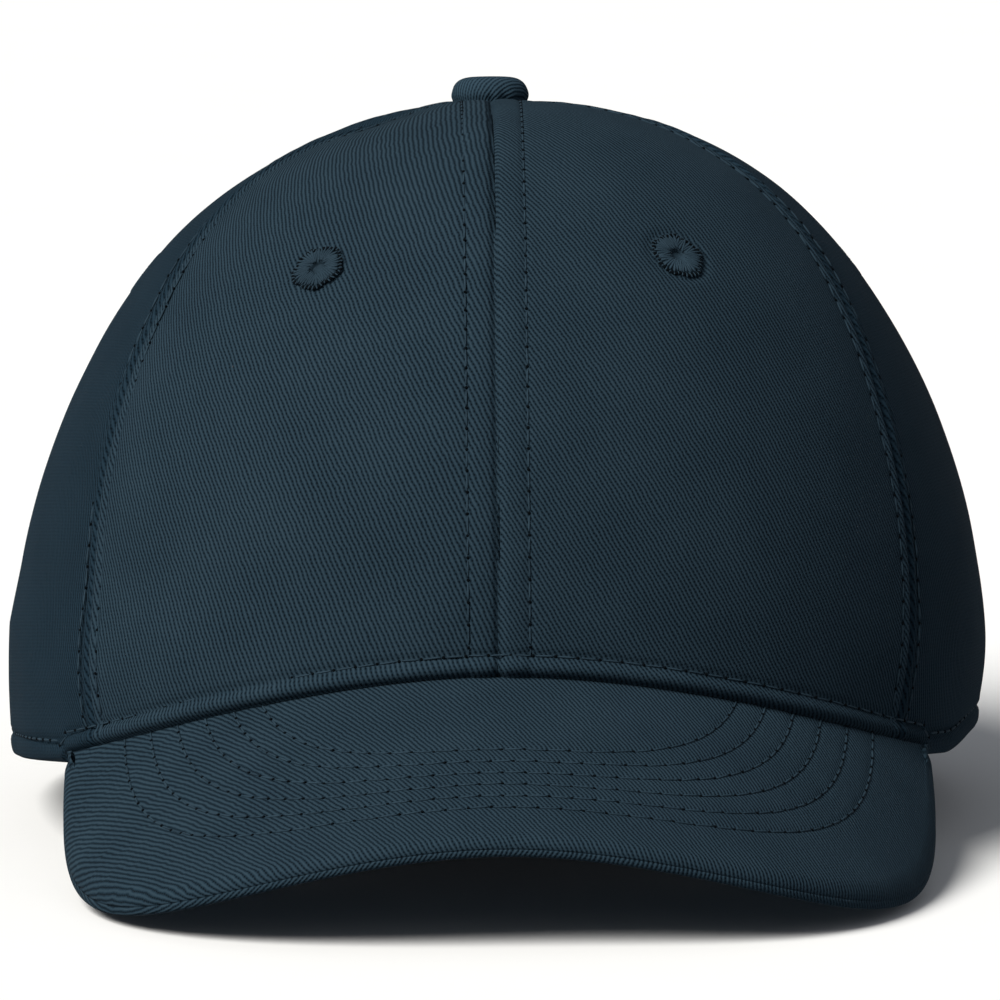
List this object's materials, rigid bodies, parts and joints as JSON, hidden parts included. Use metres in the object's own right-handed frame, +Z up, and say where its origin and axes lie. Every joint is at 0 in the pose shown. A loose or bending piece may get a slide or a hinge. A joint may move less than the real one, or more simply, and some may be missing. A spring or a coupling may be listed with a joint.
{
  "type": "bump cap",
  "caption": "Cloth baseball-style bump cap: panelled crown with button and eyelets, stitched arched peak, lift-out vented shell with foam pads, hook-and-loop back strap.",
  "frame": {"origin": "centre of the footprint on the table, under the middle of the cap, at the level of the surface it rests on", "axes": "-Y towards the front of the peak, +Y towards the back opening, +Z up, X across from ear to ear; the cap rests tipped back on the two corners of its peak and the back of its rim"},
  "size_m": [0.182, 0.2898, 0.1349],
  "materials": {
    "cloth": "woven cotton twill",
    "cloth_under": "woven cotton twill",
    "thread": "embroidery thread",
    "band": "soft towelling",
    "tape": "plain woven tape",
    "mesh": "stiffened open mesh",
    "webbing": "woven webbing",
    "hook": "moulded hook tape",
    "loop": "brushed loop pile",
    "shell": "moulded, lightly textured",
    "foam": "closed-cell foam",
    "board": "sheet",
    "metal": "plated",
    "label": "satin ribbon"
  },
  "bodies": {
    "crown": {"front_panel_left": "cloth", "front_panel_right": "cloth", "side_panel_left": "cloth", "side_panel_right": "cloth", "rear_panel_left": "cloth", "rear_panel_right": "cloth", "back_binding": "cloth", "peak_top_cover": "cloth", "peak_under_cover": "cloth_under", "button_cover": "cloth", "eyelets": "thread", "seam_tape_front": "tape", "seam_tape_rear": "tape", "seam_tapes_side": "tape", "front_stiffener_left": "mesh", "front_stiffener_right": "mesh", "sweatband": "band", "care_label": "label", "strap_base": "webbing", "crown_loop_dots": "loop", "peak_core": "board", "button_cap": "metal", "button_rivet": "metal"},
    "insert": {"insert_shell": "shell", "pad_front": "foam", "pad_right": "foam", "pad_left": "foam", "pad_rear": "foam", "pad_top": "foam", "insert_hook_dots": "hook"},
    "flap": {"strap_flap": "webbing", "hook_patch": "hook"},
    "tab": {"strap_tab": "webbing", "loop_patch": "loop"}
  },
  "joints": [
    {"name": "insert_out", "type": "slide", "parent": "crown", "child": "insert", "axis": [0, -0.1057, -0.9944], "range_m": [0, 0.15]},
    {"name": "strap_peel", "type": "hinge", "parent": "crown", "child": "flap", "pos_m": [-0.02965, 0.13828, 0.01126], "axis": [0, 0.1057, 0.9944], "range_deg": [0, 100]},
    {"name": "strap_adjust", "type": "hinge", "parent": "crown", "child": "tab", "pos_m": [0, 0.06343, 0.01922], "axis": [0, 0.1057, 0.9944], "range_deg": [-7, 7]}
  ]
}
